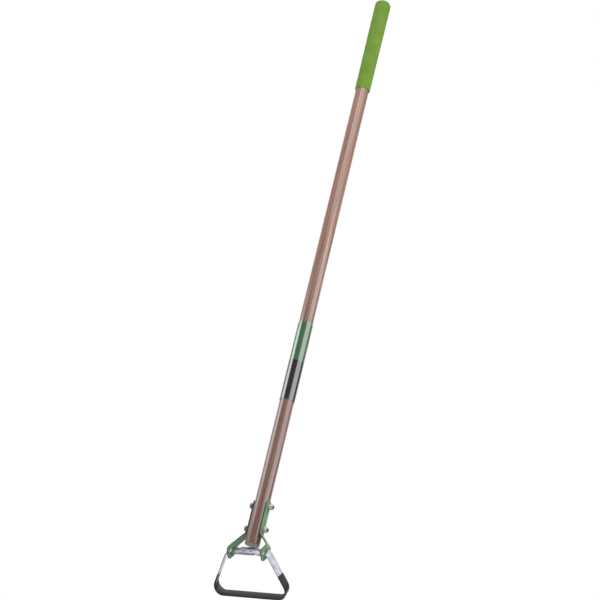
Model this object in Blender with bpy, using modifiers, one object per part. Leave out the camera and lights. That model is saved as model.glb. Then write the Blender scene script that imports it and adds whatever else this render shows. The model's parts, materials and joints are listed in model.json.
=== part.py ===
"""Oscillating hoe: a long wooden handle with a cushioned grip and a stirrup blade that rocks in two brackets.

Metres, +Z up the handle, +X across it, +Y away from the user. The scene's origin is where the upper hand holds
the grip. Handle, grip, label, brackets and fasteners are laid out from the empty at the handle's sawn end. The
stirrup is laid out in its own frame, from the empty on the line about which it rocks.
"""
import math

import bmesh
import bpy
from mathutils import Matrix, Vector

# Left between two solids that touch in the real tool
GAP = 0.0003

# Handle: a turned pole, straight for most of its length and drawn in towards the grip
HANDLE_LENGTH = 1.3665
HANDLE_DIA = 0.03175
HANDLE_TOP_DIA = 0.0302
TAPER_LENGTH = 0.205
TAPER_BELOW_GRIP = 0.017
SAWN_CHAMFER = 0.0008
TOP_CHAMFER = 0.0025

# Cushion grip: a closed sleeve, a little wider at its top than at its mouth
GRIP_LENGTH = 0.2485
GRIP_TOP_WALL = 0.004
GRIP_MOUTH_DIA = 0.0348
GRIP_TOP_DIA = 0.0370
GRIP_SHOULDER = 0.0105
GRIP_LIP = 0.0015

# Label: a thin sleeve round the pole
LABEL_START = 0.328
LABEL_END = 0.513
LABEL_THICKNESS = 0.0005

# Brackets: pressed sheet, hollow over the pole, sloping out to a flat ear
SHEET = 0.0024
STRAP_HALF_WIDTH = 0.0095
STRAP_OVER_BOLT = 0.0122
STRAP_TOP_ROUND = 0.0080
NECK_TOP = 0.0245
NECK_BOTTOM = 0.0
NECK_UPPER_BEND = 0.012
NECK_LOWER_BEND = 0.009
HOLLOW_FULL = 0.032
HOLLOW_GONE = 0.003
EAR_X = 0.0385
SHEET_SPARE = 0.002

# Ear: a tilted tongue with a slot, measured along and across the slot from the stirrup's axis
PIVOT_Y = -0.0098
PIVOT_Z = -0.0183
SLOT_TILT = 46.0
SLOT_ROUND = 0.0018
SLOT_FAR_PLAY = 0.0019
SLOT_HEIGHT_PLAY = 0.0004
ROCK = 15.5
RIM_NEAR = 0.0075
RIM_ABOVE = 0.0098
RIM_BELOW = 0.0088
EAR_UPPER_ROUND = 0.0090
EAR_LOWER_ROUND = 0.0080
EAR_FAR_ROUND = 0.0035
EAR_THROAT = 0.0050

# Stirrup: one strip bent to a closed loop whose arms lean back from the bar, its blade ground on both edges
STRIP_WIDTH = 0.01905
STRIP = 0.0030
STRIP_EDGE = 0.0004
REST_TILT = 60.0
BAR_PLAY = 0.0029
BLADE_HALF = 0.0934
BLADE_DROP = 0.0868
BLADE_SET_BACK = 0.0316
BAR_BEND = 0.0080
BLADE_BEND = 0.0170
GRIND_WIDTH = 0.0020
GRIND_LAND = 0.0008
GRIND_TIP = 0.0001
LAP_HALF = 0.0180
LAP_CLEAR = 0.0025
JOGGLE_LENGTH = 0.0060

# Rivets that close the loop where the strip's ends lap
RIVET_DIA = 0.0045
RIVET_HEAD_DIA = 0.0080
RIVET_HEAD = 0.0016
RIVET_TAIL = 0.0012
RIVET_SPACING = 0.0180
RIVET_STEPS = 20
DOME_STEPS = 4

# Quarter-inch bolts and lock nuts
BOLT_DIA = 0.00635
BOLT_LOWER_Z = 0.035
BOLT_SPACING = 0.0508
BOLT_CHAMFER = 0.0006
HEX_FLATS = 0.0111
HEAD_HEIGHT = 0.0041
NUT_HEX_HEIGHT = 0.0048
NUT_COLLAR_HEIGHT = 0.0022
NUT_COLLAR_DIA = 0.0104
NUT_COLLAR_ROUND = 0.0010
HEX_CHAMFER = 0.0006
BOLT_PROUD = 0.0016
WASHER_DIA = 0.0130
WASHER = 0.0016

# Facets, and the reach of cutters and small limits used in building
POLE_STEPS = 64
FASTENER_STEPS = 32
ARC_STEPS = 6
STRIP_STEPS = 8
COLLAR_STEPS = 3
SHEET_STEPS = 14
HOLLOW_STEP = 0.004
SHADE_ANGLE = 32.0
CUTTER_REACH = 0.060
TINY = 0.00001
MITRE_FLOOR = 0.5
SETTLE_TURNS = 8

# Worked out from the above
HANDLE_R = HANDLE_DIA / 2
GRIP_TOP_Z = HANDLE_LENGTH + GAP + GRIP_TOP_WALL
HAND_HOLD_Z = GRIP_TOP_Z - GRIP_LENGTH / 2
SADDLE_MID_R = HANDLE_R + GAP + SHEET / 2
STRAP_OUTER = HANDLE_R + GAP + SHEET
TAPER_END = GRIP_TOP_Z - GRIP_LENGTH - TAPER_BELOW_GRIP
TAPER_START = TAPER_END - TAPER_LENGTH
BOLT_UPPER_Z = BOLT_LOWER_Z + BOLT_SPACING
STRAP_TOP = BOLT_UPPER_Z + STRAP_OVER_BOLT
HOLE_R = BOLT_DIA / 2 + GAP
WASHER_SEAT = STRAP_OUTER + GAP
NUT_SEAT = WASHER_SEAT + WASHER + GAP
LAP_RISE = STRIP + GAP
BAR_END = EAR_X + SHEET / 2 + BAR_PLAY
JOGGLE_START = LAP_HALF + LAP_CLEAR
JOGGLE_END = JOGGLE_START + JOGGLE_LENGTH
ARM_LEAN = BLADE_SET_BACK / BLADE_DROP
ROCK_SINE = math.sin(math.radians(ROCK))
ROCK_COSINE = math.cos(math.radians(ROCK))
SLOT_NEAR = math.hypot(STRIP_WIDTH / 2, STRIP / 2) + GAP
SLOT_FAR = STRIP_WIDTH / 2 + SLOT_FAR_PLAY
SLOT_HALF_HEIGHT = STRIP_WIDTH / 2 * ROCK_SINE + STRIP / 2 * ROCK_COSINE + SLOT_HEIGHT_PLAY
EAR_NEAR = SLOT_NEAR + RIM_NEAR
EAR_ABOVE = SLOT_HALF_HEIGHT + RIM_ABOVE
EAR_BELOW = SLOT_HALF_HEIGHT + RIM_BELOW
SLOT_ALONG = Vector((math.cos(math.radians(SLOT_TILT)), math.sin(math.radians(SLOT_TILT))))
SLOT_ACROSS = Vector((-SLOT_ALONG.y, SLOT_ALONG.x))
PIVOT_YZ = Vector((PIVOT_Y, PIVOT_Z))

# Turns that lay a cutter's outline in the YZ plane, and a turned piece along X
FACING_X = (math.pi / 2, 0.0, math.pi / 2)
ALONG_X = (0.0, math.pi / 2, 0.0)


def clear_scene():
    for item in list(bpy.data.objects):
        bpy.data.objects.remove(item, do_unlink=True)


def new_collection(name):
    collection = bpy.data.collections.new(name)
    bpy.context.scene.collection.children.link(collection)
    return collection


def new_material(name, colour, roughness, metallic):
    material = bpy.data.materials.new(name)
    material.use_nodes = True
    shader = material.node_tree.nodes["Principled BSDF"]
    shader.inputs["Base Color"].default_value = (*colour, 1.0)
    shader.inputs["Roughness"].default_value = roughness
    shader.inputs["Metallic"].default_value = metallic
    material.diffuse_color = (*colour, 1.0)
    return material


def new_empty(name, location, parent, collection):
    empty = bpy.data.objects.new(name, None)
    empty.empty_display_size = 0.05
    empty.location = location
    empty.parent = parent
    collection.objects.link(empty)
    return empty


def new_object(name, mesh, parent, collection, location=(0.0, 0.0, 0.0), rotation=(0.0, 0.0, 0.0)):
    item = bpy.data.objects.new(name, mesh)
    item.parent = parent
    item.location = location
    item.rotation_euler = rotation
    collection.objects.link(item)
    return item


def as_cutter(item):
    item.display_type = "WIRE"
    item.hide_render = True
    return item


def arc_points(before, corner, after, radius, steps=ARC_STEPS):
    """The arc that rounds one corner of an outline, or the corner alone if it is left sharp."""
    if radius == 0:
        return [corner]
    back = (before - corner).normalized()
    on = (after - corner).normalized()
    half = back.angle(on) / 2
    centre = corner + (back + on).normalized() * radius / math.sin(half)
    start = corner + back * radius / math.tan(half) - centre
    end = corner + on * radius / math.tan(half) - centre
    turn = math.atan2(start.x * end.y - start.y * end.x, start.dot(end))
    return [centre + Matrix.Rotation(turn * i / steps, 2) @ start for i in range(steps + 1)]


def rounded(corners, closed=True, steps=ARC_STEPS):
    """An outline's points, from its corners and the radius of each."""
    places = [Vector(corner) for corner, _ in corners]
    points = []
    for i, (_, radius) in enumerate(corners):
        inside = closed or 0 < i < len(corners) - 1
        before = places[i - 1]
        after = places[(i + 1) % len(places)]
        points += arc_points(before, places[i], after, radius if inside else 0, steps)
    return points


def turned(name, profile, parent, collection, ring=False, steps=POLE_STEPS, **placing):
    """A piece turned about its own Z. The profile runs down its outer side, and up its bore if it is a ring."""
    mesh = bpy.data.meshes.new(name)
    edges = [(i, i + 1) for i in range(len(profile) - 1)]
    if ring:
        edges.append((len(profile) - 1, 0))
    mesh.from_pydata([(x, 0.0, z) for x, z in profile], edges, [])
    item = new_object(name, mesh, parent, collection, **placing)
    screw = item.modifiers.new("turn", "SCREW")
    screw.axis = "Z"
    screw.steps = steps
    screw.render_steps = steps
    screw.use_merge_vertices = True
    screw.merge_threshold = TINY
    return item


def prism(name, points, depth, parent, collection, location, rotation=FACING_X):
    """A cutter with the given outline, through the whole depth."""
    curve = bpy.data.curves.new(name, "CURVE")
    curve.dimensions = "2D"
    curve.fill_mode = "BOTH"
    curve.extrude = depth / 2
    spline = curve.splines.new("POLY")
    spline.points.add(len(points) - 1)
    for place, point in zip(spline.points, points, strict=True):
        place.co = (point.x, point.y, 0.0, 1.0)
    spline.use_cyclic_u = True
    drawn = bpy.data.objects.new(name, curve)
    collection.objects.link(drawn)
    seen = drawn.evaluated_get(bpy.context.evaluated_depsgraph_get())
    mesh = bpy.data.meshes.new_from_object(seen)
    bpy.data.objects.remove(drawn, do_unlink=True)
    shell = bmesh.new()
    shell.from_mesh(mesh)
    bmesh.ops.remove_doubles(shell, verts=shell.verts, dist=TINY)
    bmesh.ops.recalc_face_normals(shell, faces=shell.faces)
    shell.to_mesh(mesh)
    shell.free()
    return as_cutter(new_object(name, mesh, parent, collection, location, rotation))


def rod(name, radius, length, parent, collection, location, rotation, sides=FASTENER_STEPS):
    """A straight cutter, round or six-sided, centred on its location."""
    mesh = bpy.data.meshes.new(name)
    shell = bmesh.new()
    bmesh.ops.create_cone(
        shell, cap_ends=True, segments=sides, radius1=radius, radius2=radius, depth=length
    )
    shell.to_mesh(mesh)
    shell.free()
    return as_cutter(new_object(name, mesh, parent, collection, location, rotation))


def cut(item, cutter, operation="DIFFERENCE"):
    boolean = item.modifiers.new(cutter.name, "BOOLEAN")
    boolean.operation = operation
    boolean.solver = "EXACT"
    boolean.object = cutter


def finish(item, material):
    """Take the modifiers into the mesh, give it its one material, and smooth all but the real corners."""
    bpy.context.view_layer.update()
    seen = item.evaluated_get(bpy.context.evaluated_depsgraph_get())
    mesh = bpy.data.meshes.new_from_object(seen)
    item.modifiers.clear()
    item.data = mesh
    mesh.name = item.name
    mesh.materials.clear()
    mesh.materials.append(material)
    mesh.shade_smooth()
    mesh.set_sharp_from_angle(angle=math.radians(SHADE_ANGLE))
    return item


def handle(base, parts, bores, material):
    top_r = HANDLE_TOP_DIA / 2
    profile = [
        (0.0, HANDLE_LENGTH),
        (top_r - TOP_CHAMFER, HANDLE_LENGTH),
        (top_r, HANDLE_LENGTH - TOP_CHAMFER),
        (top_r, TAPER_END),
        (HANDLE_R, TAPER_START),
        (HANDLE_R, SAWN_CHAMFER),
        (HANDLE_R - SAWN_CHAMFER, 0.0),
        (0.0, 0.0),
    ]
    pole = turned("handle", profile, base, parts)
    for bore in bores:
        cut(pole, bore)
    return finish(pole, material)


def cushion_grip(base, parts, material):
    top_r = GRIP_TOP_DIA / 2
    mouth_r = GRIP_MOUTH_DIA / 2
    mouth_z = GRIP_TOP_Z - GRIP_LENGTH
    bore_r = HANDLE_TOP_DIA / 2 + GAP
    bore_top = HANDLE_LENGTH + GAP
    outside = [
        ((0.0, GRIP_TOP_Z), 0),
        ((top_r, GRIP_TOP_Z), GRIP_SHOULDER),
        ((mouth_r, mouth_z), GRIP_LIP),
        ((bore_r, mouth_z), 0),
        ((bore_r, bore_top - TOP_CHAMFER), 0),
        ((bore_r - TOP_CHAMFER, bore_top), 0),
        ((0.0, bore_top), 0),
    ]
    return finish(turned("cushion_grip", rounded(outside, closed=False), base, parts), material)


def label_wrap(base, parts, material):
    inner = HANDLE_R + GAP
    outer = inner + LABEL_THICKNESS
    profile = [(outer, LABEL_END), (outer, LABEL_START), (inner, LABEL_START), (inner, LABEL_END)]
    return finish(turned("label_wrap", profile, base, parts, ring=True), material)


def hollowness(z):
    """How much of the pole's roundness the sheet still has at this height: all of it, fading to none."""
    share = min(max((z - HOLLOW_GONE) / (HOLLOW_FULL - HOLLOW_GONE), 0.0), 1.0)
    return share * share * (3.0 - 2.0 * share)


def sheet_rows():
    """The sheet's middle line in X and Z from the top: down the strap, out along the neck and down the ear."""
    foot = ear_point(-EAR_NEAR, -EAR_BELOW).y - SHEET_SPARE
    line = rounded(
        [
            ((SADDLE_MID_R, STRAP_TOP + SHEET_SPARE), 0),
            ((SADDLE_MID_R, NECK_TOP), NECK_UPPER_BEND),
            ((EAR_X, NECK_BOTTOM), NECK_LOWER_BEND),
            ((EAR_X, foot), 0),
        ],
        closed=False,
    )
    rows = []
    for first, second in zip(line, line[1:], strict=False):
        fading = HOLLOW_GONE < first.y < HOLLOW_FULL
        parts = math.ceil((second - first).length / HOLLOW_STEP) if fading else 1
        rows += [first.lerp(second, i / parts) for i in range(parts)]
    rows.append(line[-1])
    return rows


def pressed_sheet(side):
    """The middle surface of a bracket, wider than the bracket all round, before its outline is cut."""
    rows = sheet_rows()
    hug = STRAP_HALF_WIDTH + SHEET_SPARE
    across = [ear_point(-EAR_NEAR, EAR_ABOVE).x - SHEET_SPARE]
    across += [-hug + 2 * hug * i / SHEET_STEPS for i in range(SHEET_STEPS + 1)]
    shell = bmesh.new()
    made = bmesh.ops.create_grid(
        shell, x_segments=len(across) - 1, y_segments=len(rows) - 1, size=1.0
    )
    ordered = sorted(made["verts"], key=lambda v: (round(-v.co.y, 5), round(v.co.x, 5)))
    for i, vert in enumerate(ordered):
        row = rows[i // len(across)]
        y = across[i % len(across)]
        clamped = min(abs(y), hug)
        drop = SADDLE_MID_R - math.sqrt(SADDLE_MID_R**2 - clamped**2)
        vert.co = (side * (row.x - drop * hollowness(row.y)), y, row.y)
    return shell


def ear_point(along, across):
    """A point of the ear, from its distances along and across the slot, measured from the stirrup's axis."""
    return PIVOT_YZ + along * SLOT_ALONG + across * SLOT_ACROSS


def meet_edge(across, y):
    """Where a line along the ear, at this distance across the slot, meets the strap's edge."""
    start = ear_point(0.0, across)
    return Vector((y, start.y + (y - start.x) * SLOT_ALONG.y / SLOT_ALONG.x))


def bracket_outline():
    """The bracket seen from the side: strap, throat and tilted ear, in Y and Z."""
    return rounded(
        [
            (Vector((-STRAP_HALF_WIDTH, STRAP_TOP)), STRAP_TOP_ROUND),
            (meet_edge(EAR_ABOVE, -STRAP_HALF_WIDTH), EAR_THROAT),
            (ear_point(-EAR_NEAR, EAR_ABOVE), EAR_UPPER_ROUND),
            (ear_point(-EAR_NEAR, -EAR_BELOW), EAR_LOWER_ROUND),
            (meet_edge(-EAR_BELOW, STRAP_HALF_WIDTH), EAR_FAR_ROUND),
            (Vector((STRAP_HALF_WIDTH, STRAP_TOP)), STRAP_TOP_ROUND),
        ]
    )


def slot_outline():
    return rounded(
        [
            (ear_point(-SLOT_NEAR, SLOT_HALF_HEIGHT), SLOT_ROUND),
            (ear_point(-SLOT_NEAR, -SLOT_HALF_HEIGHT), SLOT_ROUND),
            (ear_point(SLOT_FAR, -SLOT_HALF_HEIGHT), SLOT_ROUND),
            (ear_point(SLOT_FAR, SLOT_HALF_HEIGHT), SLOT_ROUND),
        ]
    )


def bracket(name, side, base, parts, cutters, bores, material):
    mesh = bpy.data.meshes.new(name)
    sheet = pressed_sheet(side)
    sheet.to_mesh(mesh)
    sheet.free()
    item = new_object(name, mesh, base, parts)
    thicken = item.modifiers.new("sheet", "SOLIDIFY")
    thicken.thickness = SHEET
    thicken.offset = 0.0
    thicken.use_even_offset = True
    beside = (side * CUTTER_REACH / 2, 0.0, 0.0)
    blank = prism(f"{name}_outline", bracket_outline(), CUTTER_REACH, base, cutters, beside)
    slot = prism(f"{name}_slot", slot_outline(), CUTTER_REACH / 2, base, cutters, (side * EAR_X, 0.0, 0.0))
    cut(item, blank, "INTERSECT")
    cut(item, slot)
    for bore in bores:
        cut(item, bore)
    return finish(item, material)


def hex_rod(name, height, base, cutters):
    """A long six-sided bar that gives a head or nut its flats."""
    corner_r = HEX_FLATS / 2 / math.cos(math.pi / 6)
    return rod(name, corner_r, 4 * CUTTER_REACH, base, cutters, (0.0, 0.0, height), ALONG_X, sides=6)


def bolt(name, height, base, parts, flats, material):
    """Lies along X: head on the left, end showing in the nut on the right."""
    shank_r = BOLT_DIA / 2
    blank_r = HEX_FLATS / 2 / math.cos(math.pi / 6) + HEX_CHAMFER / 2
    under_head = -NUT_SEAT
    head_face = under_head - HEAD_HEIGHT
    tip = NUT_SEAT + NUT_HEX_HEIGHT + NUT_COLLAR_HEIGHT + BOLT_PROUD
    profile = [
        (0.0, tip),
        (shank_r - BOLT_CHAMFER, tip),
        (shank_r, tip - BOLT_CHAMFER),
        (shank_r, under_head),
        (blank_r, under_head),
        (blank_r, head_face + HEX_CHAMFER),
        (HEX_FLATS / 2 - HEX_CHAMFER / 2, head_face),
        (0.0, head_face),
    ]
    item = turned(
        name, profile, base, parts, steps=FASTENER_STEPS, location=(0.0, 0.0, height), rotation=ALONG_X
    )
    cut(item, flats, "INTERSECT")
    return finish(item, material)


def nut(name, height, base, parts, flats, material):
    """A lock nut: hexagon below, round collar above, open bore for the bolt's end."""
    blank_r = HEX_FLATS / 2 / math.cos(math.pi / 6) + HEX_CHAMFER / 2
    face_r = HEX_FLATS / 2 - HEX_CHAMFER / 2
    collar_r = NUT_COLLAR_DIA / 2
    hex_top = NUT_SEAT + NUT_HEX_HEIGHT
    top = hex_top + NUT_COLLAR_HEIGHT
    outline = [
        ((HOLE_R, top), 0),
        ((collar_r, top), NUT_COLLAR_ROUND),
        ((collar_r, hex_top), 0),
        ((face_r, hex_top), 0),
        ((blank_r, hex_top - HEX_CHAMFER), 0),
        ((blank_r, NUT_SEAT + HEX_CHAMFER), 0),
        ((face_r, NUT_SEAT), 0),
        ((HOLE_R, NUT_SEAT), 0),
    ]
    profile = rounded(outline, closed=False, steps=COLLAR_STEPS)
    item = turned(
        name,
        profile,
        base,
        parts,
        ring=True,
        steps=FASTENER_STEPS,
        location=(0.0, 0.0, height),
        rotation=ALONG_X,
    )
    cut(item, flats, "INTERSECT")
    return finish(item, material)


def washer(name, side, height, base, parts, material):
    low = WASHER_SEAT if side > 0 else -WASHER_SEAT - WASHER
    outer = WASHER_DIA / 2
    profile = [(outer, low + WASHER), (outer, low), (HOLE_R, low), (HOLE_R, low + WASHER)]
    item = turned(
        name,
        profile,
        base,
        parts,
        ring=True,
        steps=FASTENER_STEPS,
        location=(0.0, 0.0, height),
        rotation=ALONG_X,
    )
    return finish(item, material)


def bar_corner():
    """Half the top bar, out to where its middle line and an arm's would meet."""
    half = BAR_END
    for _ in range(SETTLE_TURNS):
        arm = math.atan2(BLADE_DROP, BLADE_HALF - half)
        half = BAR_END + BAR_BEND * math.tan(arm / 2)
    return half


def strip_route():
    """The strip's middle line in the loop's own X and Z, and how far each point is ground, 0 to 1.

    It starts at the lap's upper end, runs right, down the right arm, left along the blade, up the left arm and
    back under the lap.
    """
    bar_half = bar_corner()
    corners = [
        ((-LAP_HALF, LAP_RISE), 0),
        ((JOGGLE_START, LAP_RISE), STRIP),
        ((JOGGLE_END, 0.0), STRIP),
        ((bar_half, 0.0), BAR_BEND),
        ((BLADE_HALF, -BLADE_DROP), BLADE_BEND),
        ((-BLADE_HALF, -BLADE_DROP), BLADE_BEND),
        ((-bar_half, 0.0), BAR_BEND),
        ((LAP_HALF, 0.0), 0),
    ]
    points = rounded(corners, closed=False, steps=STRIP_STEPS)
    bend_end = max(p.x for p in points if abs(p.y + BLADE_DROP) < TINY)
    route = []
    for point in points:
        past = (bend_end + BLADE_BEND / 2 - abs(point.x)) / (BLADE_BEND / 2)
        low = point.y < -BLADE_DROP + BLADE_BEND
        route.append((point, min(max(past, 0.0), 1.0) if low else 0.0))
    return route


def strip_section(ground):
    """The strip's section, as distances across its width and out of the loop, plain or ground to two edges."""
    half = STRIP_WIDTH / 2
    out = STRIP / 2
    plain = [
        (half - STRIP_EDGE, out),
        (half, out - STRIP_EDGE),
        (half, STRIP_EDGE - out),
        (half - STRIP_EDGE, -out),
    ]
    sharp = [
        (half - GRIND_TIP, out),
        (half, out - GRIND_TIP),
        (half, out - GRIND_LAND),
        (half - GRIND_WIDTH, -out),
    ]
    mixed = [Vector(a).lerp(Vector(b), ground) for a, b in zip(plain, sharp, strict=True)]
    return mixed + [Vector((-p.x, p.y)) for p in reversed(mixed)]


def stirrup_blade(pivot, parts, rivet_holes, material):
    route = strip_route()
    shell = bmesh.new()
    rings = []
    for i, (point, ground) in enumerate(route):
        back = route[max(i - 1, 0)][0]
        on = route[min(i + 1, len(route) - 1)][0]
        before = (point - back).normalized() if i else (on - point).normalized()
        after = (on - point).normalized() if i < len(route) - 1 else before
        ahead = (before + after).normalized()
        mitre = 1 / max(ahead.dot(after), MITRE_FLOOR)
        out = Vector((-ahead.y, ahead.x)) * mitre
        lean = ARM_LEAN if point.y <= 0 else 0.0
        set_back = lean * point.y
        widen = math.hypot(1.0, lean * ahead.y)
        ring = []
        for across, proud in strip_section(ground):
            place = (point.x + out.x * proud, set_back + across * widen, point.y + out.y * proud)
            ring.append(shell.verts.new(place))
        rings.append(ring)
    count = len(rings[0])
    for first, second in zip(rings, rings[1:], strict=False):
        for i in range(count):
            j = (i + 1) % count
            shell.faces.new((first[i], first[j], second[j], second[i]))
    shell.faces.new(rings[0])
    shell.faces.new(rings[-1])
    bmesh.ops.recalc_face_normals(shell, faces=shell.faces)
    mesh = bpy.data.meshes.new("stirrup_blade")
    shell.to_mesh(mesh)
    shell.free()
    item = new_object("stirrup_blade", mesh, pivot, parts)
    for hole in rivet_holes:
        cut(item, hole)
    return finish(item, material)


def rivet(name, x, pivot, parts, material):
    """A dome above the lap, a shank through both layers and a flatter dome below."""
    shank_r = RIVET_DIA / 2
    head_r = RIVET_HEAD_DIA / 2
    upper = STRIP / 2 + LAP_RISE + GAP
    lower = -STRIP / 2 - GAP
    profile = [(head_r * math.sin(a), upper + RIVET_HEAD * math.cos(a)) for a in quarter()]
    profile += [(shank_r, upper), (shank_r, lower)]
    profile += [(head_r * math.cos(a), lower - RIVET_TAIL * math.sin(a)) for a in quarter()]
    item = turned(name, profile, pivot, parts, steps=RIVET_STEPS, location=(x, 0.0, 0.0))
    return finish(item, material)


def rivet_hole(side, x, pivot, cutters):
    """A cutter that goes through both layers of the lap."""
    reach = 4 * (STRIP + LAP_RISE)
    upright = (0.0, 0.0, 0.0)
    hole_r = RIVET_DIA / 2 + GAP
    return rod(f"rivet_hole_{side}", hole_r, reach, pivot, cutters, (x, 0.0, 0.0), upright, sides=RIVET_STEPS)


def quarter():
    return [math.pi / 2 * i / DOME_STEPS for i in range(DOME_STEPS + 1)]


def build():
    clear_scene()
    parts = new_collection("oscillating_hoe")
    cutters = new_collection("cutters")

    wood = new_material("handle_wood", (0.26, 0.14, 0.10), 0.55, 0.0)
    foam = new_material("grip_foam", (0.36, 0.55, 0.16), 0.75, 0.0)
    film = new_material("label_film", (0.05, 0.20, 0.07), 0.40, 0.0)
    paint = new_material("bracket_paint", (0.17, 0.36, 0.18), 0.45, 0.0)
    zinc = new_material("fastener_zinc", (0.62, 0.63, 0.64), 0.30, 1.0)
    steel = new_material("stirrup_zinc", (0.45, 0.47, 0.50), 0.38, 1.0)

    base = new_empty("sawn_end", (0.0, 0.0, -HAND_HOLD_Z), None, parts)
    pivot = new_empty("stirrup_axis", (0.0, PIVOT_Y, PIVOT_Z), base, parts)
    pivot.rotation_euler = (math.radians(REST_TILT), 0.0, 0.0)

    heights = {"lower": BOLT_LOWER_Z, "upper": BOLT_UPPER_Z}
    bores = [
        rod(f"bore_{level}", HOLE_R, 2 * CUTTER_REACH, base, cutters, (0.0, 0.0, z), ALONG_X)
        for level, z in heights.items()
    ]
    places = {"left": -RIVET_SPACING / 2, "right": RIVET_SPACING / 2}
    rivet_holes = [rivet_hole(side, x, pivot, cutters) for side, x in places.items()]

    handle(base, parts, bores, wood)
    cushion_grip(base, parts, foam)
    label_wrap(base, parts, film)
    bracket("bracket_left", -1, base, parts, cutters, bores, paint)
    bracket("bracket_right", 1, base, parts, cutters, bores, paint)
    for level, z in heights.items():
        flats = hex_rod(f"flats_{level}", z, base, cutters)
        bolt(f"bolt_{level}", z, base, parts, flats, zinc)
        nut(f"nut_{level}", z, base, parts, flats, zinc)
        washer(f"washer_head_{level}", -1, z, base, parts, zinc)
        washer(f"washer_nut_{level}", 1, z, base, parts, zinc)
    stirrup_blade(pivot, parts, rivet_holes, steel)
    for side, x in places.items():
        rivet(f"rivet_{side}", x, pivot, parts, steel)


build()
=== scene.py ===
import json
import math

import bpy
from mathutils import Euler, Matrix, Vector

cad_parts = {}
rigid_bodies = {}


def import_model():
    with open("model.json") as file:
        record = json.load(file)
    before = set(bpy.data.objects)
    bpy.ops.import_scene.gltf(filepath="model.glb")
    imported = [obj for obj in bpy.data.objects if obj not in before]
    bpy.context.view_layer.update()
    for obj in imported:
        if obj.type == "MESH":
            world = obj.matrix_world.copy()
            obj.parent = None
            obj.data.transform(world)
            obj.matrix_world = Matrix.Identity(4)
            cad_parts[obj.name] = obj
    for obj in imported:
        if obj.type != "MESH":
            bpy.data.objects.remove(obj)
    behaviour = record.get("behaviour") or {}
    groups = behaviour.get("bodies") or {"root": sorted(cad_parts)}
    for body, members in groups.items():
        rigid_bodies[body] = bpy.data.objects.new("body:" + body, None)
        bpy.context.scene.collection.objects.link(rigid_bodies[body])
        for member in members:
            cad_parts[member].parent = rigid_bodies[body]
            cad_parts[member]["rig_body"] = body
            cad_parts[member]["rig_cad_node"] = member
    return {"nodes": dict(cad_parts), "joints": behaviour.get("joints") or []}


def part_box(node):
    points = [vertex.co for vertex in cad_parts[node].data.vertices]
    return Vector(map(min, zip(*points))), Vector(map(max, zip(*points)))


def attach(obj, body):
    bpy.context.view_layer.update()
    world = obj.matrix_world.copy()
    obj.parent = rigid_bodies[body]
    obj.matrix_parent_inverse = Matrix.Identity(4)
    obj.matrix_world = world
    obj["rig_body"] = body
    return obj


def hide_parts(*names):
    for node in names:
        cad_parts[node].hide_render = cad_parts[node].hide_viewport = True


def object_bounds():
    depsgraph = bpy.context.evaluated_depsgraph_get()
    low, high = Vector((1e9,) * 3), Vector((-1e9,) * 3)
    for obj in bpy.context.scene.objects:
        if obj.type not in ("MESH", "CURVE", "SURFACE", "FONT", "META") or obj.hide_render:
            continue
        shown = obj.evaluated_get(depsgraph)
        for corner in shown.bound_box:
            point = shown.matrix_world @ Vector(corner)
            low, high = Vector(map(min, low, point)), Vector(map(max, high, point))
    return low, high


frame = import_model()
cadBounds = [list(corner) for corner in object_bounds()]
print("frame loaded")

# where the CAD parts are, in metres
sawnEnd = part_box("handle")[0].z
gripLow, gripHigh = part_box("cushion_grip")
labelLow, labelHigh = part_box("label_wrap")
rockCentre = Vector(frame["joints"][0]["pos_m"])


# helpers for the pieces
def selectOnly(piece):
    bpy.ops.object.select_all(action="DESELECT")
    piece.select_set(True)
    bpy.context.view_layer.objects.active = piece


def applyAll(piece):
    selectOnly(piece)
    for modifier in list(piece.modifiers):
        bpy.ops.object.modifier_apply(modifier=modifier.name)


# helpers for the materials: most add a node and give back its output
def feed(tree, socket, value):
    if hasattr(value, "is_output"):
        tree.links.new(value, socket)
    else:
        socket.default_value = value


def addNode(tree, kind, inputs=None, **settings):
    node = tree.nodes.new("ShaderNode" + kind)
    for key, value in settings.items():
        setattr(node, key, value)
    for key, value in (inputs or {}).items():
        feed(tree, node.inputs[key], value)
    return node


def blankMaterial(name, sockets):
    material = bpy.data.materials.new(name)
    material.use_nodes = True
    tree = material.node_tree
    shader = tree.nodes["Principled BSDF"]
    for socket, value in sockets.items():
        shader.inputs[socket].default_value = value
    return material, tree, shader


def coordsOf(tree, kind="Object"):
    return addNode(tree, "TexCoord").outputs[kind]


def axesOf(tree, vector):
    return addNode(tree, "SeparateXYZ", {"Vector": vector}).outputs


def objectPlace(tree, stretch=(1, 1, 1), shift=(0, 0, 0)):
    inputs = {"Vector": coordsOf(tree), "Scale": stretch, "Location": shift}
    return addNode(tree, "Mapping", inputs).outputs["Vector"]


def noiseOf(tree, noise, place=None):
    if place is None:
        place = objectPlace(tree, noise.get("stretch", (1, 1, 1)))
    inputs = {"Vector": place, "Scale": noise["scale"], "Detail": noise["detail"],
              "Roughness": noise.get("roughness", 0.5)}
    return addNode(tree, "TexNoise", inputs).outputs["Fac"]


def rampOf(tree, factor, places, colours):
    node = addNode(tree, "ValToRGB", {"Fac": factor})
    ramp = node.color_ramp
    while len(ramp.elements) < len(places):
        ramp.elements.new(0.5)
    for element, place, colour in zip(ramp.elements, places, colours):
        element.position = place
        element.color = (*colour, 1.0)
    return node.outputs["Color"]


def rangeOf(tree, value, span, to=(0.0, 1.0)):
    inputs = {"Value": value, "From Min": span[0], "From Max": span[1], "To Min": to[0], "To Max": to[1]}
    return addNode(tree, "MapRange", inputs, clamp=True).outputs["Result"]


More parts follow.
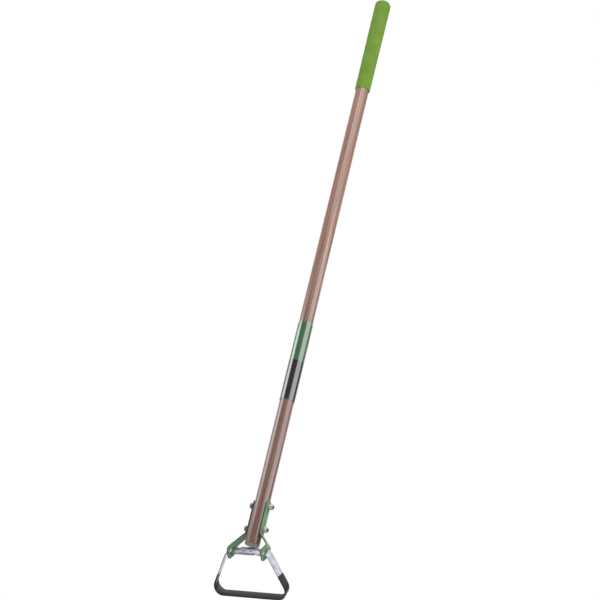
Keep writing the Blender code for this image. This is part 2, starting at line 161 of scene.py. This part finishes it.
def mixOf(tree, factor, first, second, kind="Color", **settings):
    node = addNode(tree, "Mix", **settings)
    for socket, value in (("Factor_Float", factor), ("A_" + kind, first), ("B_" + kind, second)):
        target = next(s for s in node.inputs if s.identifier == socket)
        feed(tree, target, (*value, 1.0) if isinstance(value, tuple) else value)
    return next(s for s in node.outputs if s.identifier == "Result_" + kind)


def mixColours(tree, factor, first, second, blend="MIX"):
    return mixOf(tree, factor, first, second, data_type="RGBA", blend_type=blend)


def mixNumbers(tree, factor, first, second):
    return mixOf(tree, factor, first, second, "Float", data_type="FLOAT")


def mathOf(tree, operation, first, second=0.0):
    return addNode(tree, "Math", {0: first, 1: second}, operation=operation).outputs[0]


def plus(tree, first, second):
    return mathOf(tree, "ADD", first, second)


def minus(tree, first, second):
    return mathOf(tree, "SUBTRACT", first, second)


def times(tree, first, *others):
    for other in others:
        first = mathOf(tree, "MULTIPLY", first, other)
    return first


def lengthOf(tree, vector):
    return addNode(tree, "VectorMath", {0: vector}, operation="LENGTH").outputs["Value"]


def alongOf(tree, vector, heading):
    return addNode(tree, "VectorMath", {0: vector, 1: heading}, operation="DOT_PRODUCT").outputs["Value"]


def ringsOf(tree, rings, noise):
    away = lengthOf(tree, objectPlace(tree, rings["stretch"], rings["centre"]))
    bent = plus(tree, away, times(tree, noise, rings["wobble"]))
    return mathOf(tree, "SINE", times(tree, bent, rings["pace"]))


def bumpInto(tree, shader, height, depth):
    bump = addNode(tree, "Bump", {"Height": height, "Distance": depth, "Strength": 1.0})
    normal = bump.outputs["Normal"]
    feed(tree, shader.inputs["Normal"], normal)
    return normal


# handle: varnished hardwood, with its figure drawn out along the pole
woodLook = {
    "dark": (0.165, 0.072, 0.050),
    "middle": (0.305, 0.150, 0.110),
    "pale": (0.450, 0.265, 0.200),
    "figureAt": (0.36, 0.52, 0.70),      # dark, middle and pale
    "broad": {"stretch": (1, 1, 0.03), "scale": 38, "detail": 3},
    "streaks": {"stretch": (1, 1, 0.02), "scale": 260, "detail": 4, "roughness": 0.6},
    "pores": {"stretch": (1, 1, 0.03), "scale": 1300, "detail": 2, "roughness": 0.6},
    "broadShare": 0.45,
    "grainShare": 0.6,
    "ringShare": 0.10,
    "sideRings": {"stretch": (1, 1, 0.035), "centre": (0.035, 0.018, 0.0), "wobble": 0.010, "pace": 1500},
    "poreSpan": (0.60, 0.72),
    "poreShare": 0.45,
    "poreDepth": 0.00002,
    "paintedLightUp": (1.40, 1.40, 1.34),      # painted highlight: the wood is painted paler towards the grip
    "paintedLightFrom": 0.25,                   # above the sawn end
    "paintedLightTo": 0.62,
    "endGrain": (0.175, 0.135, 0.115),
    "endDark": (0.085, 0.062, 0.050),
    "endRings": {"stretch": (1, 1, 0), "centre": (0.006, -0.004, 0), "wobble": 0.0012, "pace": 3600},
    "endRingSpan": (-0.4, 1.0),
    "endRingShare": 0.8,
    "endFrom": 0.0009,                   # above the sawn end
    "endFull": 0.0002,
    "streakSpan": (0.3, 0.7),
    "roughness": (0.42, 0.58),
    "gloss": {"Specular IOR Level": 0.15, "Coat Weight": 1.0, "Coat Roughness": 0.24, "Coat IOR": 2.35},
}


def turnedWood():
    look = woodLook
    material, tree, shader = blankMaterial("turnedWood", look["gloss"])
    broad = noiseOf(tree, look["broad"])
    streaks = noiseOf(tree, look["streaks"])
    # growth rings cut lengthways, from an axis well off the pole's own
    rings = ringsOf(tree, look["sideRings"], broad)
    grain = plus(tree, times(tree, rings, look["ringShare"]), streaks)
    tone = plus(tree, times(tree, broad, look["broadShare"]), times(tree, grain, look["grainShare"]))
    figure = rampOf(tree, tone, look["figureAt"], (look["dark"], look["middle"], look["pale"]))
    pores = rangeOf(tree, noiseOf(tree, look["pores"]), look["poreSpan"], (0.0, look["poreShare"]))
    side = mixColours(tree, pores, figure, look["dark"])
    height = axesOf(tree, coordsOf(tree))["Z"]
    # painted highlight: paler going up the pole, standing in for the broader light there
    paintedLightMask = rangeOf(tree, height, (sawnEnd + look["paintedLightFrom"], sawnEnd + look["paintedLightTo"]))
    paintedLightTint = mixColours(tree, paintedLightMask, (1.0, 1.0, 1.0), look["paintedLightUp"])
    side = mixColours(tree, 1.0, side, paintedLightTint, "MULTIPLY")
    # the sawn end shows rings and a darker, drier face
    endRings = ringsOf(tree, look["endRings"], streaks)
    darker = rangeOf(tree, endRings, look["endRingSpan"], (0.0, look["endRingShare"]))
    endFace = mixColours(tree, darker, look["endGrain"], look["endDark"])
    onEnd = rangeOf(tree, height, (sawnEnd + look["endFrom"], sawnEnd + look["endFull"]))
    feed(tree, shader.inputs["Base Color"], mixColours(tree, onEnd, side, endFace))
    feed(tree, shader.inputs["Roughness"], rangeOf(tree, streaks, look["streakSpan"], look["roughness"]))
    bumpInto(tree, shader, minus(tree, streaks, pores), look["poreDepth"])
    return material


# cushion grip: green foam, with cells that show close to
foamLook = {
    "shade": (0.192, 0.350, 0.050),
    "light": (0.245, 0.415, 0.076),
    "toneAt": (0.35, 0.65),              # shade and light
    "patches": {"scale": 45, "detail": 3},
    "cells": {"scale": 1500, "detail": 3, "roughness": 0.65},
    "patchShare": 0.7,
    "cellShare": 0.3,
    "cellDepth": 0.00022,
    "gloss": {"Roughness": 0.82, "Specular IOR Level": 0.08},
}


def greenFoam():
    look = foamLook
    material, tree, shader = blankMaterial("greenFoam", look["gloss"])
    patches = noiseOf(tree, look["patches"])
    cells = noiseOf(tree, look["cells"])
    tone = plus(tree, times(tree, patches, look["patchShare"]), times(tree, cells, look["cellShare"]))
    colour = rampOf(tree, tone, look["toneAt"], (look["shade"], look["light"]))
    feed(tree, shader.inputs["Base Color"], colour)
    bumpInto(tree, shader, cells, look["cellDepth"])
    return material


# label sleeve: glossy film in two plain colours, with nothing printed on them
labelLook = {
    "green": (0.060, 0.225, 0.070),
    "greenDeep": (0.046, 0.180, 0.054),
    "black": (0.010, 0.010, 0.011),
    "cutEdge": (0.42, 0.50, 0.42),
    "changeHeight": 0.421,               # where black turns to green, above the sawn end
    "changeBlur": 0.00005,
    "mottle": {"stretch": (1, 1, 0.25), "scale": 120, "detail": 2},
    "mottleSpan": (0.35, 0.65),
    "edgeFrom": 0.0006,                  # in from each end of the film
    "edgeFull": 0.0002,
    "edgeShare": 0.5,
    "seamAngle": 2.2,                    # round the pole, in radians
    "seamWidth": 0.03,
    "seamHeight": 0.5,
    "creases": {"stretch": (1, 1, 0.5), "scale": 60, "detail": 2},
    "creaseHeight": 0.4,
    "reliefDepth": 0.0002,
    "gloss": {"Roughness": 0.35, "Specular IOR Level": 0.15,
              "Coat Weight": 1.0, "Coat Roughness": 0.16, "Coat IOR": 3.10},
}


def printedFilm():
    look = labelLook
    material, tree, shader = blankMaterial("printedFilm", look["gloss"])
    axes = axesOf(tree, coordsOf(tree))
    change = sawnEnd + look["changeHeight"]
    mottle = rangeOf(tree, noiseOf(tree, look["mottle"]), look["mottleSpan"])
    green = mixColours(tree, mottle, look["green"], look["greenDeep"])
    above = rangeOf(tree, axes["Z"], (change - look["changeBlur"], change + look["changeBlur"]))
    twoTone = mixColours(tree, above, look["black"], green)
    # the film's cut edges show pale, and one seam runs down the back
    edgeLow = rangeOf(tree, axes["Z"], (labelLow.z + look["edgeFrom"], labelLow.z + look["edgeFull"]))
    edgeHigh = rangeOf(tree, axes["Z"], (labelHigh.z - look["edgeFrom"], labelHigh.z - look["edgeFull"]))
    edge = times(tree, mathOf(tree, "MAXIMUM", edgeLow, edgeHigh), look["edgeShare"])
    feed(tree, shader.inputs["Base Color"], mixColours(tree, edge, twoTone, look["cutEdge"]))
    angle = mathOf(tree, "ARCTAN2", axes["Y"], axes["X"])
    seam = rangeOf(tree, angle, (look["seamAngle"], look["seamAngle"] + look["seamWidth"]))
    creases = noiseOf(tree, look["creases"])
    relief = plus(tree, times(tree, seam, look["seamHeight"]), times(tree, creases, look["creaseHeight"]))
    feed(tree, shader.inputs["Coat Normal"], bumpInto(tree, shader, relief, look["reliefDepth"]))
    return material


# brackets: green powder coat on pressed steel
paintLook = {
    "body": (0.215, 0.440, 0.212),
    "deep": (0.170, 0.355, 0.170),
    "chip": (0.060, 0.130, 0.062),
    # painted shade: the dark of the sheared edges, partly a thin coat
    "cutEdge": (0.040, 0.080, 0.045),
    "patches": {"scale": 70, "detail": 4, "roughness": 0.6},
    "patchSpan": (0.38, 0.64),
    "specks": {"scale": 420, "detail": 4, "roughness": 0.7},
    "speckSpan": (0.70, 0.76),
    "speckShare": 0.6,
    "shearedShadedSpan": (0.40, 0.15),         # how far a face looks along X, from coated to sheared and shaded
    "peel": {"scale": 900, "detail": 2},
    "peelSpan": (0.3, 0.7),
    "peelDepth": 0.00008,
    "roughness": (0.35, 0.49),
    "gloss": {"Coat Weight": 0.50, "Coat Roughness": 0.34},
}


def powderCoat():
    look = paintLook
    material, tree, shader = blankMaterial("powderCoat", look["gloss"])
    patches = rangeOf(tree, noiseOf(tree, look["patches"]), look["patchSpan"])
    colour = mixColours(tree, patches, look["deep"], look["body"])
    specks = rangeOf(tree, noiseOf(tree, look["specks"]), look["speckSpan"], (0.0, look["speckShare"]))
    coated = mixColours(tree, specks, colour, look["chip"])
    # the sheared edges, which all face along Y and Z, are darker: partly a thin coat, partly painted shade
    # between the brackets and the pole
    sideways = mathOf(tree, "ABSOLUTE", axesOf(tree, coordsOf(tree, "Normal"))["X"])
    shearedAndShaded = rangeOf(tree, sideways, look["shearedShadedSpan"])
    feed(tree, shader.inputs["Base Color"], mixColours(tree, shearedAndShaded, coated, look["cutEdge"]))
    peel = noiseOf(tree, look["peel"])
    feed(tree, shader.inputs["Roughness"], rangeOf(tree, peel, look["peelSpan"], look["roughness"]))
    bumpInto(tree, shader, peel, look["peelDepth"])
    return material


# fastenings: zinc plate; the bolts and the washers under their heads get a darker copy of it, painted shade
# for their side
plateLook = {
    "clouds": {"scale": 320, "detail": 4, "roughness": 0.6},
    "cloudSpan": (0.35, 0.65),
    "roughSpan": (0.3, 0.7),
    "scratches": {"scale": 1500, "detail": 3, "roughness": 0.6},
    "gloss": {"Metallic": 1.0},
}
zincLook = {
    "bright": (0.92, 0.93, 0.94),
    "dull": (0.68, 0.70, 0.72),
    "roughness": (0.48, 0.34),           # of the dull clouds and of the bright ones
    "scratchDepth": 0.00003,
}
# painted shade: a darker copy of the zinc for the bolts and the washers under their heads
shadedZincLook = {
    "bright": (0.38, 0.40, 0.38),
    "dull": (0.15, 0.16, 0.15),
    "roughness": (0.42, 0.28),
    "scratchDepth": 0.00003,
}
rivetLook = {
    "bright": (0.58, 0.60, 0.64),
    "dull": (0.40, 0.42, 0.46),
    "roughness": (0.60, 0.46),
    "scratchDepth": 0.00001,
}


def zincPlate(name, look):
    material, tree, shader = blankMaterial(name, plateLook["gloss"])
    clouds = noiseOf(tree, plateLook["clouds"])
    brighter = rangeOf(tree, clouds, plateLook["cloudSpan"])
    feed(tree, shader.inputs["Base Color"], mixColours(tree, brighter, look["dull"], look["bright"]))
    feed(tree, shader.inputs["Roughness"], rangeOf(tree, clouds, plateLook["roughSpan"], look["roughness"]))
    bumpInto(tree, shader, noiseOf(tree, plateLook["scratches"]), look["scratchDepth"])
    return material


# stirrup: rolled zinc-plated strip, dipped black at the blade
stirrupLook = {
    "bright": (0.66, 0.68, 0.73),
    "dull": (0.40, 0.42, 0.47),
    "restTilt": 60.0,                    # of the bar's and the blade's width
    "armLean": 0.364,
    "rolled": {"scale": 1.0, "detail": 3, "roughness": 0.55},
    "rolledAlong": 14.0,
    "rolledAcross": 260.0,
    "clouds": {"scale": 55, "detail": 2, "roughness": 0.4},
    "rolledShare": 0.6,
    "cloudShare": 0.4,
    "brightSpan": (0.40, 0.58),
    "roughSpan": (0.35, 0.65),
    "roughness": (0.36, 0.22),
    "fine": {"scale": 700, "detail": 3, "roughness": 0.6},
    "rollDepth": 0.00002,
    "gloss": {"Specular IOR Level": 0.45},
}
# painted shade and reflection: a dark band along the bar under the pole's end, where it reflects the sawn
# end and the brackets
paintedBarShadeLook = {
    "colour": (0.085, 0.088, 0.110),
    "frontSpan": (-0.0010, 0.0020),      # across the strip, from its middle line
    "backSpan": (0.0068, 0.0082),
    "backShare": 0.25,
    "halfLength": 0.040,                 # along the bar, under the pole's end
    "fade": 0.014,
    "heightSpan": (-0.008, -0.005),      # keeps it off the arms
    "streakSpan": (0.30, 0.60),
    "streakShare": (0.95, 0.60),
}
dipLook = {
    "fresh": (0.024, 0.024, 0.025),
    "wornAndSheen": (0.120, 0.120, 0.119),
    "tilt": 49.5,                        # of the edge of the black dip
    "slant": 0.037,
    "below": 0.0456,                     # from the rocking line
    "blur": 0.0002,
    "ragged": {"scale": 260, "detail": 3},
    "raggedBy": 0.0008,
    "roughness": 0.42,
    "thickness": 6.0,                    # in steps of the rolled surface's depth
    "scuffs": {"stretch": (0.35, 1, 1), "scale": 190, "detail": 4, "roughness": 0.6},
    "scuffShare": 0.25,
    "backSheenSpan": (-0.0060, 0.0100),        # painted sheen: paler towards the back edge
    "backSheenShare": 0.85,
    "paleFrom": 0.10,
    "bladeSpan": (-0.070, -0.082),       # more wear on the blade than on the arms
    "armShare": 0.15,
    "leftSheenSpan": (-0.050, -0.066),        # painted highlight: paler on the left arm than on the right one
    "leftSheenShare": 1.1,
}


def stripAxes(tree):
    tilt = math.radians(stirrupLook["restTilt"])
    inputs = {0: coordsOf(tree), 1: tuple(rockCentre)}
    fromRock = addNode(tree, "VectorMath", inputs, operation="SUBTRACT").outputs["Vector"]
    sideways = alongOf(tree, fromRock, (1.0, 0.0, 0.0))
    up = alongOf(tree, fromRock, (0.0, -math.sin(tilt), math.cos(tilt)))
    # across the strip's width, from the front edge to the back one, also where the arms lean
    flat = alongOf(tree, fromRock, (0.0, math.cos(tilt), math.sin(tilt)))
    across = minus(tree, flat, times(tree, mathOf(tree, "MINIMUM", up, 0.0), stirrupLook["armLean"]))
    return fromRock, sideways, up, across


def paintedBarShadeOf(tree, sideways, up, across, streaks):
    look = paintedBarShadeLook
    front = rangeOf(tree, across, look["frontSpan"])
    back = rangeOf(tree, across, look["backSpan"], (1.0, look["backShare"]))
    offCentre = mathOf(tree, "ABSOLUTE", sideways)
    near = rangeOf(tree, offCentre, (look["halfLength"] - look["fade"], look["halfLength"]), (1.0, 0.0))
    onBar = rangeOf(tree, up, look["heightSpan"])
    streaky = rangeOf(tree, streaks, look["streakSpan"], look["streakShare"])
    return times(tree, front, back, near, onBar, streaky)


def dippedOf(tree, fromRock):
    look = dipLook
    tilt = math.radians(look["tilt"])
    down = alongOf(tree, fromRock, (look["slant"], math.sin(tilt), -math.cos(tilt)))
    ragged = times(tree, minus(tree, noiseOf(tree, look["ragged"]), 0.5), look["raggedBy"])
    level = plus(tree, down, ragged)
    return rangeOf(tree, level, (look["below"] - look["blur"], look["below"] + look["blur"]))


def dipColour(tree, sideways, up, across):
    look = dipLook
    # the dip is paler where scuffed, more on the blade, with painted sheen towards the back edge and a
    # painted highlight on the left arm
    scuffs = times(tree, noiseOf(tree, look["scuffs"]), look["scuffShare"])
    scuffsAndSheen = plus(tree, rangeOf(tree, across, look["backSheenSpan"], (0.0, look["backSheenShare"])), scuffs)
    onBlade = rangeOf(tree, up, look["bladeSpan"], (look["armShare"], 1.0))
    leftSheen = rangeOf(tree, sideways, look["leftSheenSpan"], (0.0, look["leftSheenShare"]))
    wornAndSheen = times(tree, minus(tree, scuffsAndSheen, look["paleFrom"]), plus(tree, onBlade, leftSheen))
    return mixColours(tree, wornAndSheen, look["fresh"], look["wornAndSheen"])


def dippedStrip():
    look = stirrupLook
    material, tree, shader = blankMaterial("dippedStrip", look["gloss"])
    fromRock, sideways, up, across = stripAxes(tree)
    # rolled streaks along the strip, with cloudy zinc between them
    rolled = addNode(tree, "CombineXYZ", {"X": times(tree, sideways, look["rolledAlong"]),
                                          "Y": times(tree, across, look["rolledAcross"]),
                                          "Z": times(tree, up, look["rolledAlong"])})
    streaks = noiseOf(tree, look["rolled"], rolled.outputs["Vector"])
    clouds = noiseOf(tree, look["clouds"])
    mottle = plus(tree, times(tree, streaks, look["rolledShare"]), times(tree, clouds, look["cloudShare"]))
    plated = mixColours(tree, rangeOf(tree, mottle, look["brightSpan"]), look["dull"], look["bright"])
    # painted shade: the dark band along the bar under the pole's end
    paintedBarShade = paintedBarShadeOf(tree, sideways, up, across, streaks)
    bare = mixColours(tree, paintedBarShade, plated, paintedBarShadeLook["colour"])
    dipped = dippedOf(tree, fromRock)
    undipped = minus(tree, 1.0, dipped)
    coat = dipColour(tree, sideways, up, across)
    feed(tree, shader.inputs["Base Color"], mixColours(tree, dipped, bare, coat))
    feed(tree, shader.inputs["Metallic"], undipped)
    bareRoughness = times(tree, undipped, rangeOf(tree, mottle, look["roughSpan"], look["roughness"]))
    roughness = plus(tree, bareRoughness, times(tree, dipped, dipLook["roughness"]))
    feed(tree, shader.inputs["Roughness"], roughness)
    relief = plus(tree, times(tree, dipped, dipLook["thickness"]), noiseOf(tree, look["fine"]))
    bumpInto(tree, shader, relief, look["rollDepth"])
    return material


# one finish for each material slot, and two duller ones that share a slot: the bolts' darker one is painted
# shade
finishes = {
    "wood": turnedWood(),
    "grip_foam": greenFoam(),
    "label_film": printedFilm(),
    "bracket_paint": powderCoat(),
    "fastener_zinc": zincPlate("zincPlate", zincLook),
    "bolt": zincPlate("shadedZincPlate", shadedZincLook),
    "rivet": zincPlate("rivetPlate", rivetLook),
    "stirrup_zinc": dippedStrip(),
}
print("finishes made")


# cushion grip: a moulded foam sleeve with a rounded, closed end
gripSize = {
    "mouthRadius": 0.0174,
    "boreRadius": 0.0154,
    "topWall": 0.0043,
    "shoulder": 0.0105,
    "shoulderSteps": 9,
    "lip": 0.0014,
    "lipSteps": 4,
    "sides": 96,
    "smoothing": 40,           # degrees
    "facingDown": -0.9,        # the mouth's face is the only one below this
    "pickWithin": 0.0002,
}


def pickFaces(piece, wanted):
    bpy.ops.object.mode_set(mode="OBJECT")
    mesh = piece.data
    for part in (*mesh.vertices, *mesh.edges):
        part.select = False
    for face in mesh.polygons:
        face.select = wanted(face)
        if face.select:
            for index in face.vertices:
                mesh.vertices[index].select = True
    bpy.ops.object.mode_set(mode="EDIT")


def pickRing(piece, height, radius):
    bpy.ops.object.mode_set(mode="OBJECT")
    mesh = piece.data
    slack = gripSize["pickWithin"]
    near = {v.index for v in mesh.vertices
            if abs(v.co.z - height) < slack and abs(v.co.xy.length - radius) < slack}
    for part in (*mesh.polygons, *mesh.vertices):
        part.select = False
    for edge in mesh.edges:
        edge.select = set(edge.vertices) <= near
    bpy.ops.object.mode_set(mode="EDIT")


def buildGrip():
    size = gripSize
    topRadius = (gripHigh.x - gripLow.x) / 2
    length = gripHigh.z - gripLow.z
    bpy.ops.object.select_all(action="DESELECT")
    bpy.ops.mesh.primitive_cylinder_add(vertices=size["sides"], radius=topRadius, depth=length,
                                        location=(0, 0, (gripLow.z + gripHigh.z) / 2))
    grip = bpy.context.view_layer.objects.active
    grip.name = "foamGrip"
    bpy.ops.object.transform_apply(location=True, rotation=True, scale=True)
    bpy.ops.object.mode_set(mode="EDIT")
    bpy.ops.mesh.select_mode(type="FACE")
    # draw the mouth in, then sink the bore up from it
    pickFaces(grip, lambda face: face.normal.z < size["facingDown"])
    squeeze = size["mouthRadius"] / topRadius
    bpy.ops.transform.resize(value=(squeeze, squeeze, 1), center_override=(0, 0, gripLow.z))
    bpy.ops.mesh.inset(thickness=size["mouthRadius"] - size["boreRadius"], use_even_offset=True)
    bpy.ops.mesh.extrude_region_move(TRANSFORM_OT_translate={"value": (0, 0, length - size["topWall"])})
    # round the shoulder and the lip
    bpy.ops.mesh.select_mode(type="EDGE")
    pickRing(grip, gripHigh.z, topRadius)
    bpy.ops.mesh.bevel(offset=size["shoulder"], segments=size["shoulderSteps"], profile=0.5, affect="EDGES")
    pickRing(grip, gripLow.z, size["mouthRadius"])
    bpy.ops.mesh.bevel(offset=size["lip"], segments=size["lipSteps"], profile=0.5, affect="EDGES")
    bpy.ops.mesh.select_all(action="SELECT")
    bpy.ops.mesh.normals_make_consistent(inside=False)
    bpy.ops.object.mode_set(mode="OBJECT")
    bpy.ops.object.shade_smooth_by_angle(angle=math.radians(size["smoothing"]))
    grip.data.materials.clear()
    grip.data.materials.append(finishes["grip_foam"])
    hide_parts("cushion_grip")
    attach(grip, "pole")


buildGrip()
print("grip made")


# hard pieces: the CAD shapes, shaded smooth and with their edges eased
easing = {
    "mergeWithin": 0.000002,
    "flatWithin": 0.4,         # degrees
    "bevelAbove": 38,          # degrees
    "bevelSteps": 2,
}
hardPieces = {
    # CAD node: name here, body, slot, finish, width of the eased edge, smoothing angle
    "handle": ("turnedPole", "pole", "wood", "wood", 0.00030, 28),
    "label_wrap": ("labelSleeve", "pole", "label_film", "label_film", 0.00004, 28),
    "bracket_left": ("leftBracket", "pole", "bracket_paint", "bracket_paint", 0.00045, 28),
    "bracket_right": ("rightBracket", "pole", "bracket_paint", "bracket_paint", 0.00045, 28),
    "bolt_lower": ("lowerBolt", "pole", "fastener_zinc", "bolt", 0.00018, 28),
    "bolt_upper": ("upperBolt", "pole", "fastener_zinc", "bolt", 0.00018, 28),
    "nut_lower": ("lowerNut", "pole", "fastener_zinc", "fastener_zinc", 0.00018, 28),
    "nut_upper": ("upperNut", "pole", "fastener_zinc", "fastener_zinc", 0.00018, 28),
    "washer_head_lower": ("lowerHeadWasher", "pole", "fastener_zinc", "bolt", 0.00020, 28),
    "washer_head_upper": ("upperHeadWasher", "pole", "fastener_zinc", "bolt", 0.00020, 28),
    "washer_nut_lower": ("lowerNutWasher", "pole", "fastener_zinc", "fastener_zinc", 0.00020, 28),
    "washer_nut_upper": ("upperNutWasher", "pole", "fastener_zinc", "fastener_zinc", 0.00020, 28),
    "stirrup_blade": ("stirrupBlade", "stirrup", "stirrup_zinc", "stirrup_zinc", 0.00012, 28),
    "rivet_left": ("leftRivet", "stirrup", "stirrup_zinc", "rivet", 0.00012, 60),
    "rivet_right": ("rightRivet", "stirrup", "stirrup_zinc", "rivet", 0.00012, 60),
}


def easeEdges(node, name, body, slotName, finish, width, smoothing):
    selectOnly(frame["nodes"][node])
    bpy.ops.object.duplicate()
    piece = bpy.context.view_layer.objects.active
    piece.name = name
    piece.parent = None
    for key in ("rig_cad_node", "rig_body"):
        if key in piece:
            del piece[key]
    bpy.ops.object.mode_set(mode="EDIT")
    bpy.ops.mesh.select_all(action="SELECT")
    bpy.ops.mesh.remove_doubles(threshold=easing["mergeWithin"])
    bpy.ops.mesh.dissolve_limited(angle_limit=math.radians(easing["flatWithin"]))
    bpy.ops.object.mode_set(mode="OBJECT")
    if piece.data.has_custom_normals:
        bpy.ops.mesh.customdata_custom_splitnormals_clear()
    bevel = piece.modifiers.new("ease", "BEVEL")
    bevel.limit_method = "ANGLE"
    bevel.angle_limit = math.radians(easing["bevelAbove"])
    bevel.width = width
    bevel.segments = easing["bevelSteps"]
    bevel.use_clamp_overlap = True
    applyAll(piece)
    bpy.ops.object.shade_smooth_by_angle(angle=math.radians(smoothing))
    # the wide faces keep their own direction, and the narrow ones beside them turn
    evened = piece.modifiers.new("evened", "WEIGHTED_NORMAL")
    evened.keep_sharp = True
    applyAll(piece)
    piece.data.materials.clear()
    piece.data.materials.append(finishes[finish])
    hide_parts(node)
    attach(piece, body)


for node, facts in hardPieces.items():
    easeEdges(node, *facts)
print("hard pieces eased")


# camera: where the photograph was taken from
cameraPlace = {
    "fromSawnEnd": (1.8362, -3.3032, -1.1936),
    "turn": (115.6275, -12.4781, 23.5225),       # degrees
    "lens": 114.48,
    "sensorWidth": 36,
    "seesTo": 40,
}


def addCamera():
    data = bpy.data.cameras.new("photoCamera")
    data.sensor_width = cameraPlace["sensorWidth"]
    data.lens = cameraPlace["lens"]
    data.clip_end = cameraPlace["seesTo"]
    camera = bpy.data.objects.new("photoCamera", data)
    bpy.context.scene.collection.objects.link(camera)
    camera.location = Vector(cameraPlace["fromSawnEnd"]) + Vector((0, 0, sawnEnd))
    camera.rotation_euler = Euler([math.radians(a) for a in cameraPlace["turn"]], "XYZ")
    bpy.context.scene.camera = camera


# softboxes: their glow is how bright they look, whatever their size
softboxes = {
    # name: place, what it is aimed at, width, height, glow
    "rightPanel": ((1.04, -0.18, -0.42), (0, 0, -0.80), 1.42, 0.86, 1.25),
    "frontPanel": ((0.88, -1.18, 0.80), (0, 0, 0.00), 2.10, 0.90, 1.15),
    "leftPanel": ((-1.07, -0.73, -0.44), (0, 0, -0.80), 1.00, 0.62, 2.1),
}


def addSoftbox(name, place, aim, width, height, glow):
    data = bpy.data.lights.new(name, "AREA")
    data.shape = "RECTANGLE"
    data.size = width
    data.size_y = height
    data.energy = glow * math.pi * width * height
    light = bpy.data.objects.new(name, data)
    light.location = place
    light.rotation_euler = (Vector(aim) - Vector(place)).to_track_quat("-Z", "Y").to_euler()
    light.visible_camera = False
    bpy.context.scene.collection.objects.link(light)


# room: white to the camera, and in reflections a white backdrop, a pale ceiling and darker sides
roomLight = {
    "fill": 0.60,
    "room": 0.08,
    "backdropHeading": (-0.49, 0.87, 0.0),       # behind the tool
    "backdropSpan": (0.35, 0.80),
    "ceiling": 1.00,
    "ceilingSpan": (0.48, 0.90),
}


def addRoom():
    world = bpy.data.worlds.new("paleStudio")
    bpy.context.scene.world = world
    world.use_nodes = True
    tree = world.node_tree
    back = tree.nodes["Background"]
    rays = addNode(tree, "LightPath").outputs
    heading = coordsOf(tree, "Generated")
    backdrop = rangeOf(tree, alongOf(tree, heading, roomLight["backdropHeading"]), roomLight["backdropSpan"])
    ceiling = rangeOf(tree, axesOf(tree, heading)["Z"], roomLight["ceilingSpan"],
                      (roomLight["room"], roomLight["ceiling"]))
    mirrored = mathOf(tree, "MAXIMUM", backdrop, ceiling)
    gloss = mathOf(tree, "MAXIMUM", rays["Is Glossy Ray"], rays["Is Transmission Ray"])
    lit = mixNumbers(tree, gloss, roomLight["fill"], mirrored)
    feed(tree, back.inputs["Color"], (1.0, 1.0, 1.0, 1.0))
    feed(tree, back.inputs["Strength"], mixNumbers(tree, rays["Is Camera Ray"], lit, 1.0))


# floor: pale, and well below the blade, so that it stays out of the photograph's view
floorLook = {
    "drop": 1.45,
    "size": 60.0,
    "lift": 0.50,              # brings what the camera sees close to white, and the shadow stays
    "sockets": {"Base Color": (0.78, 0.78, 0.78, 1.0), "Roughness": 0.9, "Specular IOR Level": 0.1,
                "Emission Color": (1.0, 1.0, 1.0, 1.0)},
}


def addFloor():
    bpy.ops.object.select_all(action="DESELECT")
    height = cadBounds[0][2] - floorLook["drop"]
    bpy.ops.mesh.primitive_plane_add(size=floorLook["size"], location=(0, 0, height))
    floor = bpy.context.view_layer.objects.active
    floor.name = "studioFloor"
    material, tree, shader = blankMaterial("studioFloor", floorLook["sockets"])
    seen = addNode(tree, "LightPath").outputs["Is Camera Ray"]
    feed(tree, shader.inputs["Emission Strength"], times(tree, seen, floorLook["lift"]))
    floor.data.materials.append(material)


addCamera()
for name, facts in softboxes.items():
    addSoftbox(name, *facts)
addRoom()
addFloor()
bpy.context.scene.view_settings.view_transform = "Standard"
print("studio lit")
